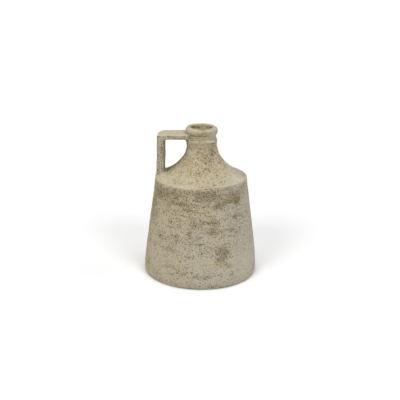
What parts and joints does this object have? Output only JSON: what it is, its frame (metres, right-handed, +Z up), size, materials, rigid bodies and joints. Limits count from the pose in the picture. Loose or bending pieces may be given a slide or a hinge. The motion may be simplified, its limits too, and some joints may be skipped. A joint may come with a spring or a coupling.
{
  "type": "ceramic vase",
  "caption": "Squat matt stoneware jug vase with a flared straight body, a hollow funnel shoulder, a collared neck with a rolled lip, and one squared strap handle.",
  "frame": {"origin": "centre of the floor contact, on the pot's turning axis", "axes": "+Z up along the pot's axis, -X towards the handle, so the handle's sides face -Y and +Y"},
  "size_m": [0.2352, 0.2352, 0.3082],
  "materials": {
    "floor_clay": "unglazed sandy stoneware, matt, scraped flat on the foot ring",
    "wall_clay": "unglazed sandy stoneware, matt, pitted, with brown oxide rubbed into the throwing lines",
    "shoulder_clay": "unglazed sandy stoneware, matt, warm and pale, finely pitted",
    "collar_clay": "unglazed sandy stoneware, matt, rubbed pale on its crown",
    "lip_clay": "unglazed sandy stoneware, matt, smooth and pale on the roll",
    "handle_clay": "unglazed sandy stoneware, matt, pale on its top face"
  },
  "bodies": {
    "root": {"floor_slab": "floor_clay", "body_wall": "wall_clay", "shoulder_and_neck": "shoulder_clay", "neck_collar": "collar_clay", "lip": "lip_clay", "handle": "handle_clay"}
  },
  "joints": []
}
